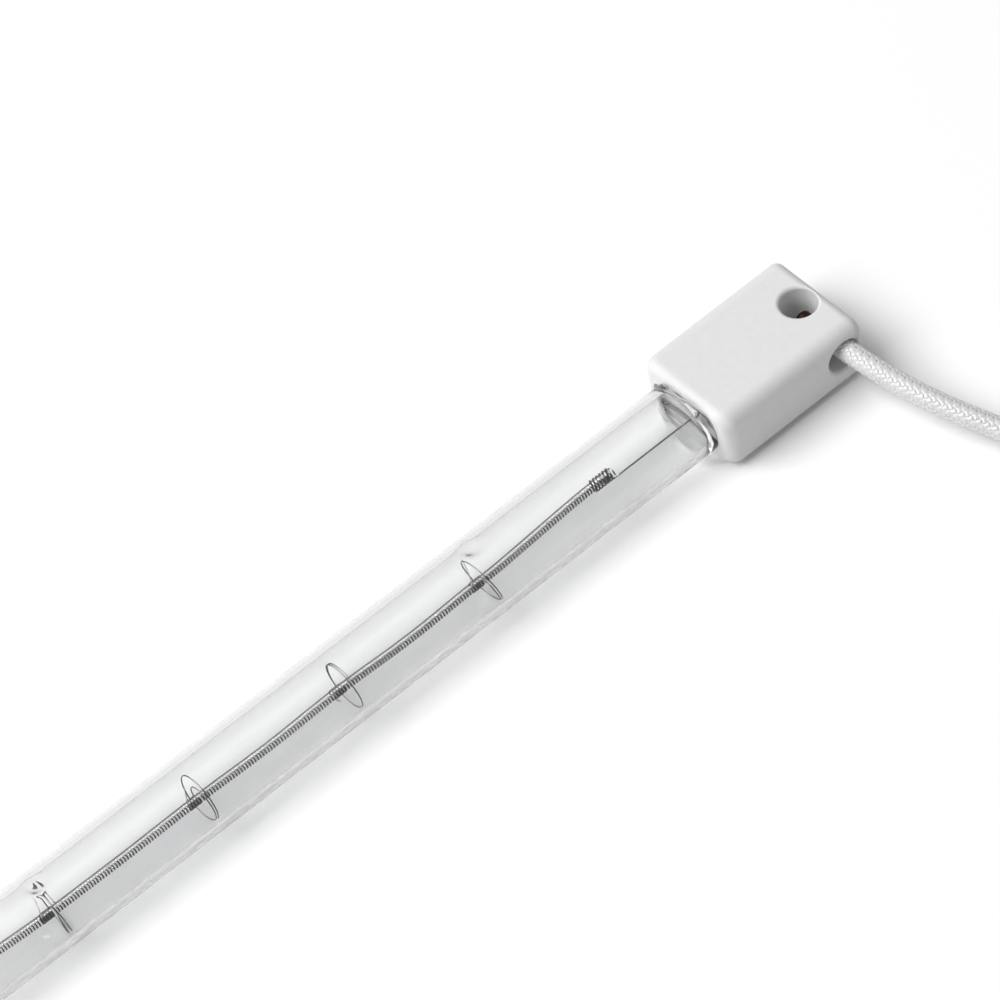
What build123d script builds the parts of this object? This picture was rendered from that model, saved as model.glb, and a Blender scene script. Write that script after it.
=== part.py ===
from build123d import *
import os

# Quartz heating tube: a sealed quartz lamp with a tungsten coil, flat ceramic end caps and one braided lead.
# Millimetres. X runs along the tube towards the cap with the lead, Z is up, the tube rests on Z = 0,
# and Y = 0 is the middle plane of the two caps.

# Quartz envelope
tube_diameter = 10.0
tube_wall = 0.95
shoulder_length = 3.2
pinch_width = 10.6
pinch_thickness = 2.5
pinch_corner = 1.0
pinch_length = 13.5
pinch_reveal = 0.2
taper_inset = 1.2
taper_length = 3.6
taper_tip_radius = 1.2

# Tungsten coil and its wire supports
support_count = 4
support_spacing = 21.6
end_span = 32.7
coil_diameter = 1.25
support_wire = 0.28
ring_section = 0.25
hub_length = 1.9
hub_play = 0.03
ring_diameter = 6.5
ring_lean = 13.0
ring_sweep = 280.0
ring_rest_gap = 0.02

# Dimples that keep every third support in place
dimple_every = 3
dimple_radius = 1.4
dimple_depth = 0.8
dimple_wall = 0.9
dimple_setback = 1.0

# Connectors from the coil to the seals
connector_wire = 0.33
connector_length = 3.6
connector_play = 0.02
connector_setback = 11.7
connector_rise = 0.5
coil_overlap = 3.2
coil_straight = 0.6
coil_level_run = 2.4
leg_angle = 199.0
leg_embed = 2.6

# Molybdenum foils and the pins behind them
foil_width = 3.0
foil_thickness = 0.12
foil_start = 1.2
foil_length = 9.0
pin_diameter = 0.9
pin_overlap = 2.5
seal_play = 0.03

# Ceramic caps and their cement
cap_length = 21.6
cap_width = 15.0
cap_height = 8.0
cap_offset = 0.6
cap_shoulder_radius = 2.0
cap_mouth_radius = 1.2
cap_rear_radius = 1.4
cavity_width = 12.0
cavity_height = 3.6
cavity_drop = 0.4
cavity_corner = 1.2
cavity_depth = 14.6
hole_setback = 3.1
top_hole_diameter = 4.6
side_hole_diameter = 4.6
hole_floor_drop = 0.4
pin_passage_diameter = 2.2
cement_recess = 0.6
cement_play = 0.05

# Braided lead and the crimp that joins it to the pin
lead_diameter = 2.7
conductor_diameter = 1.2
lead_shift = 0.4
crimp_diameter = 2.0
crimp_length = 3.95
crimp_reach = 0.55
weld_gap = 0.03
jacket_gap = 0.1
bend_share = 0.45

# Put-away coil of the lead, its tie and its end ferrule
lead_turns = 2
lead_coil_radius = 17.6
lead_coil_play = 0.15
entry_clearance = 0.6
tie_thickness = 0.4
tie_width = 3.0
tie_angle = 180.0
ferrule_diameter = 2.0
ferrule_length = 7.0
ferrule_angle = 130.0
ferrule_gap = 0.2

# Sizes and places that follow from those
tube_radius = tube_diameter / 2
bore_radius = tube_radius - tube_wall
axis_y = -cap_offset
axis_z = tube_radius
coil_run = (support_count - 1) * support_spacing
mouth_x = coil_run / 2 + end_span
pinch_start = mouth_x - pinch_reveal
pinch_end = pinch_start + pinch_length
shoulder_start = pinch_start - shoulder_length
taper_tip = mouth_x - taper_inset
taper_start = taper_tip - taper_length
support_stations = [coil_run / 2 - index * support_spacing for index in range(support_count)]
support_z = axis_z - (bore_radius - ring_diameter / 2 - ring_rest_gap)
hub_bore_radius = coil_diameter / 2 + hub_play
hub_wire_radius = hub_bore_radius + support_wire / 2
ring_wire_radius = (ring_diameter - ring_section) / 2
dimple_reach = tube_radius - dimple_depth + dimple_radius
dimple_sites = [
    (station - dimple_setback, axis_y, axis_z + side * dimple_reach)
    for station in support_stations[::dimple_every]
    for side in (1, -1)
]
connector_bore_radius = coil_diameter / 2 + connector_play
connector_wire_radius = connector_bore_radius + connector_wire / 2
connector_outer_x = mouth_x - connector_setback
connector_inner_x = connector_outer_x - connector_length
connector_z = axis_z + connector_rise
leg_offset = Vector(connector_wire_radius, 0, 0).rotate(Axis.Z, leg_angle)
leg_y = axis_y + leg_offset.X
leg_z = connector_z + leg_offset.Y
foil_x = mouth_x + foil_start
leg_end = foil_x + leg_embed
foil_z = leg_z - connector_wire / 2 - seal_play - foil_thickness / 2
pin_z = foil_z + foil_thickness / 2 + seal_play + pin_diameter / 2
pin_start = foil_x + foil_length - pin_overlap
cap_end = mouth_x + cap_length
cap_middle_x = mouth_x + cap_length / 2
hole_x = cap_end - hole_setback
lead_x = hole_x + lead_shift
hole_depth = (cap_height + side_hole_diameter) / 2 + hole_floor_drop
pin_end = lead_x - crimp_diameter / 2 - weld_gap
crimp_top = axis_y + crimp_reach
crimp_foot = crimp_top - crimp_length
jacket_y = crimp_foot - jacket_gap
lead_radius = lead_diameter / 2
lead_coil_z = tie_thickness + lead_coil_play + lead_radius
lead_coil_outer = lead_coil_radius + lead_radius
lead_coil_inner = lead_coil_radius - lead_turns * lead_diameter - lead_radius
lead_coil_middle = (lead_coil_outer + lead_coil_inner) / 2

# Route of the lead, from its crimp down to its coil
lead_route = [
    Vector(lead_x, jacket_y, pin_z),
    Vector(84.3, -12.0, 5.5),
    Vector(86.0, -21.5, 5.0),
    Vector(88.7, -31.0, 3.6),
    Vector(91.6, -38.6, lead_coil_z),
    Vector(95.4, -45.2, lead_coil_z),
]
lead_runs = [after - before for before, after in zip(lead_route, lead_route[1:])]
entry_direction = lead_runs[-1].normalized()
entry_outwards = entry_direction.rotate(Axis.Z, -90)
lead_coil_centre = lead_route[-1] - entry_outwards * lead_coil_radius


def across(x, y=axis_y, z=axis_z):
    """Plane across the tube at a point, looking along +X, with its own X along +Y and its own Y along +Z."""
    return Plane(origin=(x, y, z), x_dir=(0, 1, 0), z_dir=(1, 0, 0))


def coil_cut(turned, radius):
    """Radial cut of the lead's coil, turned from its entry, with its own X outwards and its own Y up."""
    outwards = entry_outwards.rotate(Axis.Z, turned)
    return Plane(
        origin=lead_coil_centre + outwards * radius,
        x_dir=outwards,
        z_dir=outwards.cross(Vector(0, 0, 1)),
    )


def easy_bend(run_in, run_out):
    """Radius of the largest arc that suits two straight runs of the lead."""
    half_turn = Vector(1, 0, 0).rotate(Axis.Z, run_in.get_angle(run_out) / 2)
    return bend_share * min(run_in.length, run_out.length) * half_turn.X / half_turn.Y


def keep(piece, name):
    """Label a finished sub-part and write it out."""
    piece.part.label = name
    export_step(piece.part, f"parts/{name}.step")


def keep_pair(piece, name):
    """Write a sub-part of the end with the lead, and its mirror image for the far end."""
    with BuildPart() as far_piece:
        mirror(piece.part, about=Plane.YZ)
    keep(piece, f"{name}_a")
    keep(far_piece, f"{name}_b")


os.makedirs("parts", exist_ok=True)

# Molybdenum foil, sealed flat in the pinch
with BuildPart() as seal_foil:
    with Locations((foil_x, axis_y, foil_z)):
        Box(foil_length, foil_width, foil_thickness, align=(Align.MIN, Align.CENTER, Align.CENTER))
keep_pair(seal_foil, "seal_foil")

# Outer pin, from the foil out of the pinch to the crossing of the cap's holes, where it meets the crimp
with BuildPart() as outer_pin:
    with BuildSketch(across(pin_start, z=pin_z)):
        Circle(pin_diameter / 2)
    extrude(amount=pin_end - pin_start)
keep_pair(outer_pin, "outer_pin")

# Connector: a close spiral over the coil's end, with a straight leg that runs into the seal
with BuildPart() as coil_connector:
    with BuildSketch(across(connector_inner_x, z=connector_z)):
        Circle(connector_wire_radius + connector_wire / 2)
        Circle(connector_bore_radius, mode=Mode.SUBTRACT)
    extrude(amount=connector_length)
    with BuildSketch(across(connector_outer_x - connector_wire, leg_y, leg_z)):
        Circle(connector_wire / 2)
    extrude(amount=leg_end - connector_outer_x + connector_wire)
keep_pair(coil_connector, "coil_connector")

# Hollow of the envelope: the bore, tapering towards each seal, and the seats of what is sealed in
with BuildPart() as hollow:
    with BuildSketch(Plane(origin=(0, axis_y, axis_z))):
        with BuildLine():
            Polyline(
                (0, 0),
                (0, bore_radius),
                (taper_start, bore_radius),
                (taper_tip, taper_tip_radius),
                (taper_tip, 0),
                close=True,
            )
        make_face()
    revolve(axis=Axis((0, axis_y, axis_z), (1, 0, 0)))
    with BuildSketch(across(taper_start, leg_y, leg_z)):
        Circle(connector_wire / 2 + seal_play)
    extrude(amount=leg_end + seal_play - taper_start)
    with Locations((foil_x - seal_play, axis_y, foil_z)):
        Box(
            foil_length + 2 * seal_play,
            foil_width + 2 * seal_play,
            foil_thickness + 2 * seal_play,
            align=(Align.MIN, Align.CENTER, Align.CENTER),
        )
    with BuildSketch(across(pin_start - seal_play, z=pin_z)):
        Circle(pin_diameter / 2 + seal_play)
    extrude(amount=pinch_end - pin_start + seal_play)
    mirror(about=Plane.YZ)
    with Locations(*dimple_sites):
        Sphere(dimple_radius + dimple_wall, rotation=(90, 0, 0), mode=Mode.SUBTRACT)

# Quartz envelope: round tube, pressed flat at each end into a pinch seal, with dimples and its hollow
with BuildPart() as quartz_tube:
    with BuildSketch(across(0)):
        Circle(tube_radius)
    extrude(amount=pinch_start, both=True)
    with BuildSketch(Plane(origin=(0, axis_y, axis_z), x_dir=(1, 0, 0), z_dir=(0, -1, 0))):
        Polygon(
            (shoulder_start, tube_radius),
            (pinch_start, pinch_thickness / 2),
            (pinch_start, tube_radius),
            align=None,
        )
        mirror(about=Plane.XZ)
        mirror(about=Plane.YZ)
    extrude(amount=tube_radius, both=True, mode=Mode.SUBTRACT)
    with BuildSketch(across(pinch_start), across(-pinch_end)):
        RectangleRounded(pinch_width, pinch_thickness, pinch_corner)
    extrude(amount=pinch_length)
    with Locations(*dimple_sites):
        Sphere(dimple_radius, rotation=(90, 0, 0), mode=Mode.SUBTRACT)
    add(hollow.part, mode=Mode.SUBTRACT)
keep(quartz_tube, "quartz_tube")

# Tungsten coil: its outer shape, level through the supports and rising to a connector at each end
coil_end_x = connector_inner_x + coil_overlap
coil_rise_x = connector_inner_x - coil_straight
coil_level_x = support_stations[0] + hub_length / 2 + coil_level_run
with BuildPart() as filament:
    with BuildLine():
        Polyline(
            (-coil_end_x, axis_y, connector_z),
            (-coil_rise_x, axis_y, connector_z),
            (-coil_level_x, axis_y, support_z),
            (coil_level_x, axis_y, support_z),
            (coil_rise_x, axis_y, connector_z),
            (coil_end_x, axis_y, connector_z),
        )
    with BuildSketch(across(-coil_end_x, z=connector_z)):
        Circle(coil_diameter / 2)
    sweep(transition=Transition.RIGHT)
keep(filament, "filament")

# Supports: a close-wound hub on the coil, and one wire that swings out into a ring, leaning beside a dimple
for number, station in enumerate(support_stations, start=1):
    ring_plane = across(station + hub_length / 2 - support_wire, z=support_z)
    if station in support_stations[::dimple_every]:
        ring_plane = ring_plane.rotated((0, -ring_lean, 0))
    with BuildPart() as support:
        with BuildSketch(across(station - hub_length / 2, z=support_z)):
            Circle(hub_wire_radius + support_wire / 2)
            Circle(hub_bore_radius, mode=Mode.SUBTRACT)
        extrude(amount=hub_length)
        with BuildLine(ring_plane) as ring_path:
            swing_radius = (hub_wire_radius + ring_wire_radius) / 2
            swing_centre = (hub_wire_radius - ring_wire_radius) / 2
            CenterArc((swing_centre, 0), swing_radius, 0, 180)
            CenterArc((0, 0), ring_wire_radius, 180, ring_sweep)
        with BuildSketch(Plane(origin=ring_path.line @ 0, x_dir=ring_plane.z_dir, z_dir=ring_path.line % 0)):
            Rectangle(ring_section, ring_section)
        sweep()
    keep(support, f"support_{number:02d}")

# Ceramic cap: rounded block, hollow for the pinch, with a hole from the top and one from the side that meet
with BuildPart() as ceramic_cap:
    with BuildSketch(across(mouth_x, y=0)) as cap_section:
        Rectangle(cap_width, cap_height)
        fillet(cap_section.vertices().group_by(Axis.Y)[-1], cap_shoulder_radius)
    extrude(amount=cap_length)
    with BuildSketch(Plane(origin=(cap_middle_x, 0, axis_z))) as cap_plan:
        Rectangle(cap_length, cap_width)
        fillet(cap_plan.vertices().group_by(Axis.X)[0], cap_mouth_radius)
        fillet(cap_plan.vertices().group_by(Axis.X)[-1], cap_rear_radius)
    extrude(amount=cap_height, both=True, mode=Mode.INTERSECT)
    with BuildSketch(Plane(origin=(cap_middle_x, 0, axis_z), x_dir=(1, 0, 0), z_dir=(0, -1, 0))) as cap_side:
        Rectangle(cap_length, cap_height)
        fillet(cap_side.vertices().group_by(Axis.Y)[-1].sort_by(Axis.X)[0], cap_mouth_radius)
        fillet(cap_side.vertices().group_by(Axis.Y)[-1].sort_by(Axis.X)[-1], cap_rear_radius)
    extrude(amount=cap_width, both=True, mode=Mode.INTERSECT)
    with BuildSketch(across(mouth_x, y=0, z=axis_z - cavity_drop)):
        RectangleRounded(cavity_width, cavity_height, cavity_corner)
    extrude(amount=cavity_depth, mode=Mode.SUBTRACT)
    with BuildSketch(across(mouth_x + cavity_depth, z=pin_z)):
        Circle(pin_passage_diameter / 2)
    extrude(amount=hole_x - mouth_x - cavity_depth, mode=Mode.SUBTRACT)
    with Locations((hole_x, 0, axis_z + cap_height / 2)):
        Hole(top_hole_diameter / 2, depth=hole_depth)
    with Locations(Plane(origin=(hole_x, -cap_width / 2, axis_z), z_dir=(0, -1, 0))):
        Hole(side_hole_diameter / 2, depth=cap_width / 2)
keep_pair(ceramic_cap, "ceramic_cap")

# Cement that fills the cap's hollow around the pinch, behind a recess at the mouth
with BuildPart() as cap_cement:
    with BuildSketch(across(mouth_x + cement_recess, y=0, z=axis_z - cavity_drop)):
        RectangleRounded(cavity_width, cavity_height, cavity_corner)
        offset(amount=-cement_play)
    extrude(amount=pinch_end - mouth_x - cement_recess)
    with BuildSketch(across(mouth_x)):
        Rectangle(pinch_width + 2 * cement_play, pinch_thickness + 2 * cement_play)
    extrude(amount=pinch_length, mode=Mode.SUBTRACT)
keep_pair(cap_cement, "cap_cement")

# Crimp in the crossing of the holes, pressed shut on the end of the lead, with the pin against its side
with BuildPart() as lead_crimp:
    with BuildSketch(Plane(origin=(lead_x, crimp_foot, pin_z), z_dir=(0, 1, 0))):
        Circle(crimp_diameter / 2)
    extrude(amount=crimp_length)
keep(lead_crimp, "lead_crimp")

# Lead: braided jacket from the crimp, out of the side hole and down to the coil
bends = [easy_bend(run_in, run_out) for run_in, run_out in zip(lead_runs, lead_runs[1:])]
with BuildPart() as lead_wire:
    with BuildLine() as lead_path:
        FilletPolyline(*lead_route, radius=bends)
    with BuildSketch(Plane(origin=lead_route[0], z_dir=lead_runs[0])):
        Circle(lead_radius)
    sweep()
keep(lead_wire, "lead_wire")
lead_section = lead_wire.faces().sort_by(Axis.Y)[-1].area
print("lead bends", [round(bend, 1) for bend in bends])
print("lead length", round(lead_path.wires()[0].length, 2))
print("lead volume over section", round(lead_wire.part.volume / lead_section, 2))

# Put-away turns of the lead: one flat ring, stepped where the lead runs into its outer turn
with BuildPart() as lead_coil:
    with BuildSketch(coil_cut(0, lead_coil_middle)):
        Rectangle(lead_coil_outer - lead_coil_inner, lead_diameter)
    revolve(axis=Axis(lead_coil_centre, (0, 0, 1)))
    with BuildSketch(Plane(origin=lead_route[-1], x_dir=entry_direction, z_dir=(0, 0, 1))):
        with Locations((0, lead_radius + entry_clearance)):
            Rectangle(lead_coil_radius, 2 * lead_diameter, align=Align.MAX)
    extrude(amount=lead_diameter, both=True, mode=Mode.SUBTRACT)
keep(lead_coil, "lead_coil")

# Strap that ties the turns
with BuildPart() as coil_tie:
    with BuildSketch(coil_cut(tie_angle, lead_coil_middle)):
        strap_width = lead_coil_outer - lead_coil_inner + 2 * lead_coil_play
        strap_height = lead_diameter + 2 * lead_coil_play
        Rectangle(strap_width + 2 * tie_thickness, strap_height + 2 * tie_thickness)
        Rectangle(strap_width, strap_height, mode=Mode.SUBTRACT)
    extrude(amount=tie_width / 2, both=True)
keep(coil_tie, "coil_tie")

# Ferrule on the lead's free end, lying inside the turns
ferrule_radius = ferrule_diameter / 2
ferrule_reach = ((lead_coil_inner - ferrule_gap) ** 2 - (ferrule_length / 2) ** 2) ** 0.5 - ferrule_radius
with BuildPart() as lead_ferrule:
    with BuildSketch(coil_cut(ferrule_angle, ferrule_reach)):
        Circle(ferrule_radius)
        Circle(conductor_diameter / 2, mode=Mode.SUBTRACT)
    extrude(amount=ferrule_length / 2, both=True)
keep(lead_ferrule, "lead_ferrule")
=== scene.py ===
import math

import bpy
import numpy as np
from mathutils import Matrix, Vector


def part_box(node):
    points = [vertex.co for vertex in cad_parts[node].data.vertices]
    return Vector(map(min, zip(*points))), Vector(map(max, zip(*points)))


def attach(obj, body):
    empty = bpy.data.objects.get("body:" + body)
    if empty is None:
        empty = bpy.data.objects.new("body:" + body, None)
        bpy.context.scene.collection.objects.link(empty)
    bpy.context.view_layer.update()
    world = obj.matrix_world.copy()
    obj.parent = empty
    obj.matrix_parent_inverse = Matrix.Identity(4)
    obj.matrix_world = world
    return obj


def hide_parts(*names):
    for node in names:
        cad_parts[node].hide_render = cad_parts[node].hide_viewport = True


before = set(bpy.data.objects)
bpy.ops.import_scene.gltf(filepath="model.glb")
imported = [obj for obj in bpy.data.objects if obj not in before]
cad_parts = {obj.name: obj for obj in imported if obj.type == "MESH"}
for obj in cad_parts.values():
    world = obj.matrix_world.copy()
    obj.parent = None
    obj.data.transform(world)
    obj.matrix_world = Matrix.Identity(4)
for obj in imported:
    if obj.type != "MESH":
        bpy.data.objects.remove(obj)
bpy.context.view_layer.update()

# Quartz heating tube. Shapes are worked out in millimetres, in the solid model's frame, and made in metres.
MM = 0.001
TURN = 2 * math.pi
UP = Vector((0, 0, 1))
scene = bpy.context.scene
scene.view_settings.view_transform = "Standard"
# Lets the lamp's light pass the clear tube to the floor
scene.cycles.blur_glossy = 0.0


def span(node):
    """Lowest and highest corner of a node of the solid model, in millimetres."""
    low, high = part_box(node)
    return np.array(low) / MM, np.array(high) / MM


# Camera at the photograph's viewing angle
view_aim = Vector((65.8, 0.0, 5.0))
view_azimuth = math.radians(-32.37)
view_elevation = math.radians(50.41)
view_roll = math.radians(-11.45)
view_distance = 900.0
view_across = -22.10
view_upward = -10.50
view_lens = 278.28

level_right = Vector((math.cos(view_azimuth), math.sin(view_azimuth), 0))
towards_camera = Vector(
    (
        math.sin(view_azimuth) * math.cos(view_elevation),
        -math.cos(view_azimuth) * math.cos(view_elevation),
        math.sin(view_elevation),
    )
)
level_up = towards_camera.cross(level_right)
view_right = level_right * math.cos(view_roll) + level_up * math.sin(view_roll)
view_up = level_up * math.cos(view_roll) - level_right * math.sin(view_roll)
view_place = view_aim + view_right * view_across + view_up * view_upward + towards_camera * view_distance
view_turn = Matrix((view_right, view_up, towards_camera)).transposed().to_4x4()

camera = bpy.data.objects.new("camera", bpy.data.cameras.new("camera"))
camera.data.lens = view_lens
camera.data.sensor_width = 36.0
camera.data.clip_start = 0.01
camera.data.clip_end = 100.0
camera.matrix_world = Matrix.Translation(view_place * MM) @ view_turn
scene.collection.objects.link(camera)
scene.camera = camera


# Materials
class Tint:
    """An output in one node tree; arithmetic on it adds Math nodes, and node() adds any other node."""

    def __init__(self, tree, output=None):
        self.tree = tree
        self.output = output

    def node(self, kind, settings, sockets, give=0):
        made = self.tree.nodes.new(kind)
        for name, value in settings.items():
            if name == "stops":
                for stop, (position, tone) in zip(made.color_ramp.elements, value):
                    stop.position = position
                    stop.color = tone
            else:
                setattr(made, name, value)
        feed(self, made, sockets)
        return Tint(self.tree, made.outputs[give])

    def maths(self, operation, first, second=0.0):
        return self.node("ShaderNodeMath", {"operation": operation}, {0: first, 1: second})

    def __add__(self, other):
        return self.maths("ADD", self, other)

    __radd__ = __add__

    def __sub__(self, other):
        return self.maths("SUBTRACT", self, other)

    def __rsub__(self, other):
        return self.maths("SUBTRACT", other, self)

    def __mul__(self, other):
        return self.maths("MULTIPLY", self, other)

    __rmul__ = __mul__

    def __abs__(self):
        return self.maths("ABSOLUTE", self)


def feed(brush, node, sockets):
    """Set or link the sockets of a node."""
    for name, value in sockets.items():
        if isinstance(value, Tint):
            brush.tree.links.new(value.output, node.inputs[name])
        else:
            node.inputs[name].default_value = value


def grey(level):
    return (level, level, level, 1.0)


def paint(name):
    """A new material, its node maker and its surface shader."""
    made = bpy.data.materials.new(name)
    made.use_nodes = True
    surface = made.node_tree.nodes["Principled BSDF"]
    return made, Tint(made.node_tree), surface


def place(brush):
    return brush.node("ShaderNodeTexCoord", {}, {}, "Object")


def grain(brush, where, scale, detail=3.0, stretch=(1.0, 1.0, 1.0)):
    """Noise from 0 to 1, with scale in features for each unit of where."""
    drawn = brush.node("ShaderNodeMapping", {}, {"Vector": where, "Scale": stretch})
    return brush.node("ShaderNodeTexNoise", {}, {"Vector": drawn, "Scale": scale, "Detail": detail})


def vector_maths(brush, operation, first, second=(0.0, 0.0, 0.0), give=0):
    return brush.node("ShaderNodeVectorMath", {"operation": operation}, {0: first, 1: second}, give)


def blend(brush, share, first, second):
    """A colour between two, by share; a Mix node's colour sockets go by number, as their names repeat."""
    settings = {"data_type": "RGBA", "clamp_factor": True}
    return brush.node("ShaderNodeMix", settings, {0: share, 6: first, 7: second}, 2)


def ramp(brush, share, stops):
    return brush.node("ShaderNodeValToRGB", {"stops": stops}, {"Fac": share})


def relief(brush, height, depth, strength):
    """Fine bumps, with depth in metres."""
    sockets = {"Strength": strength, "Distance": depth, "Height": height}
    return brush.node("ShaderNodeBump", {}, sockets, "Normal")


# Painted highlight and painted shade on wire: the way its painted highlight faces, up towards the lamp, how
# far mottling moves its edge, and where that edge lies
painted_highlight_facing = (-0.36, -0.06, 0.93)
highlight_mottle = 0.1
highlight_start = 0.91
highlight_full = 0.995


def painted_highlight_tone(brush, mottle, dark, bright):
    """Metal colour with a painted highlight on its upper side and painted shade on its flanks."""
    outwards = brush.node("ShaderNodeNewGeometry", {}, {}, "Normal")
    facing = vector_maths(brush, "DOT_PRODUCT", outwards, painted_highlight_facing, "Value")
    return ramp(brush, facing + mottle * highlight_mottle, [(highlight_start, dark), (highlight_full, bright)])


# Inner side of a wound wire, which the coil's colour paints near white as a painted highlight, in turns round
# the wire: its middle, and how far off it starts and ends to fade
inner_turn = 0.5
inner_full = 0.10
inner_end = 0.20


def inner_side(brush):
    """Share that is 1 on the inner side of a wound wire and 0 on its outer side."""
    around = brush.node("ShaderNodeTexCoord", {}, {}, "UV")
    turn = brush.node("ShaderNodeSeparateXYZ", {}, {"Vector": around}, "Y")
    return ramp(brush, abs(turn - inner_turn), [(inner_full, grey(1.0)), (inner_end, grey(0.0))])


# Tints of the glass, in centimetres from its axis: where the bore's ends and the outside's starts
bore_tint_end = 0.43
outer_tint_start = 0.47


def clear_quartz():
    """Clear glass that dims what is seen through it a little more at its outside than at its bore."""
    made, brush, surface = paint("clear_quartz")
    where = place(brush)
    draw_lines = grain(brush, where, scale=900.0, detail=2.0, stretch=(0.02, 1.0, 1.0))
    haze = grain(brush, where, scale=60.0)
    low, high = span("quartz_tube")
    centred = vector_maths(brush, "SUBTRACT", where, (low + high) / 2 * MM)
    across = vector_maths(brush, "MULTIPLY", centred, (0.0, 1.0, 1.0))
    centimetres = 100.0 * vector_maths(brush, "LENGTH", across, give="Value")
    outside = ramp(brush, centimetres, [(bore_tint_end, grey(0.0)), (outer_tint_start, grey(1.0))])
    inner_tint = blend(brush, haze, (0.925, 0.931, 0.932, 1.0), grey(0.95))
    outer_tint = blend(brush, haze, (0.805, 0.811, 0.812, 1.0), grey(0.83))
    feed(
        brush,
        surface,
        {
            "Base Color": blend(brush, outside, inner_tint, outer_tint),
            "Roughness": haze * 0.006,
            "IOR": 1.458,
            "Transmission Weight": 1.0,
            "Normal": relief(brush, draw_lines, depth=0.000004, strength=0.5),
        },
    )
    return made


def fired_ceramic():
    made, brush, surface = paint("fired_ceramic")
    where = place(brush)
    fine = grain(brush, where, scale=3200.0, detail=2.0)
    speck = grain(brush, where, scale=1100.0, detail=4.0)
    smudge = grain(brush, where, scale=130.0, detail=4.0)
    body = ramp(brush, speck, [(0.25, (0.755, 0.757, 0.757, 1.0)), (0.70, (0.785, 0.787, 0.787, 1.0))])
    stained = ramp(brush, smudge, [(0.62, grey(0.0)), (0.95, grey(1.0))])
    feed(
        brush,
        surface,
        {
            "Base Color": blend(brush, stained, body, (0.74, 0.725, 0.69, 1.0)),
            "Roughness": 0.52 + speck * 0.16,
            "Normal": relief(brush, fine * 0.45 + speck * 0.55, depth=0.00004, strength=0.4),
        },
    )
    return made


def tungsten():
    made, brush, surface = paint("tungsten")
    drawn = grain(brush, place(brush), scale=2600.0)
    # Near white for the painted highlight on the wire's upper side and on its inner side, seen through the
    # gaps between turns; near black for painted shade on its flanks
    bright = (0.98, 0.975, 0.97, 1.0)
    outer_tone = painted_highlight_tone(brush, drawn, grey(0.02), bright)
    feed(
        brush,
        surface,
        {
            "Base Color": blend(brush, inner_side(brush), outer_tone, bright),
            "Metallic": 1.0,
            "Roughness": 0.14 + drawn * 0.12,
            "Normal": relief(brush, drawn, depth=0.000008, strength=0.4),
        },
    )
    return made


def aged_wire_with_painted_highlight():
    made, brush, surface = paint("aged_wire_with_painted_highlight")
    aged = grain(brush, place(brush), scale=1500.0, detail=4.0)
    feed(
        brush,
        surface,
        {
            # Painted highlight on the upper side and painted shade on the flanks, over the wire's own aged
            # mottle
            "Base Color": painted_highlight_tone(brush, aged, grey(0.05), (0.70, 0.69, 0.68, 1.0)),
            "Metallic": 1.0,
            "Roughness": 0.28 + aged * 0.22,
            "Normal": relief(brush, aged, depth=0.000008, strength=0.4),
        },
    )
    return made


def molybdenum():
    made, brush, surface = paint("molybdenum")
    rolled = grain(brush, place(brush), scale=1400.0, stretch=(0.2, 1.0, 1.0))
    feed(
        brush,
        surface,
        {
            # Painted highlight on the upper side and painted shade on the flanks, over the metal's own
            # rolling marks
            "Base Color": painted_highlight_tone(brush, rolled, grey(0.09), (0.80, 0.795, 0.78, 1.0)),
            "Metallic": 1.0,
            "Roughness": 0.16 + rolled * 0.16,
            "Normal": relief(brush, rolled, depth=0.000006, strength=0.4),
        },
    )
    return made


def set_cement():
    made, brush, surface = paint("set_cement")
    where = place(brush)
    sand = grain(brush, where, scale=1800.0, detail=5.0)
    patch = grain(brush, where, scale=300.0)
    tones = [(0.3, (0.62, 0.615, 0.60, 1.0)), (0.7, (0.78, 0.775, 0.76, 1.0))]
    feed(
        brush,
        surface,
        {
            "Base Color": ramp(brush, sand * 0.6 + patch * 0.4, tones),
            "Roughness": 0.82 + sand * 0.12,
            "Normal": relief(brush, sand, depth=0.00015, strength=0.8),
        },
    )
    return made


def browned_copper_painted_shade():
    made, brush, surface = paint("browned_copper_painted_shade")
    tarnish = grain(brush, place(brush), scale=900.0, detail=4.0)
    # Near-black tones: partly the copper's tarnish, partly painted shade for the crimp's place at the bottom
    # of the hole
    tones = [(0.35, (0.012, 0.005, 0.004, 1.0)), (0.72, (0.050, 0.018, 0.014, 1.0))]
    feed(
        brush,
        surface,
        {
            "Base Color": ramp(brush, tarnish, tones),
            "Metallic": 0.85,
            "Roughness": 0.34 + tarnish * 0.25,
            "Normal": relief(brush, tarnish, depth=0.00003, strength=0.5),
        },
    )
    return made


def glass_braid():
    """Varnished fibre, streaked along each bundle of the braid."""
    made, brush, surface = paint("glass_braid")
    along = brush.node("ShaderNodeUVMap", {"uv_map": "along"}, {})
    fibre = grain(brush, along, scale=1.0, detail=2.0, stretch=(0.35, 26.0, 1.0))
    soil = grain(brush, place(brush), scale=220.0)
    white = ramp(brush, fibre, [(0.28, (0.60, 0.605, 0.61, 1.0)), (0.62, (0.74, 0.743, 0.745, 1.0))])
    feed(
        brush,
        surface,
        {
            "Base Color": blend(brush, soil * 0.15, white, (0.60, 0.59, 0.57, 1.0)),
            "Roughness": 0.30 + fibre * 0.20,
            "Coat Weight": 0.75,
            "Coat Roughness": 0.12,
            "Normal": relief(brush, fibre, depth=0.00004, strength=0.7),
        },
    )
    return made


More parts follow.
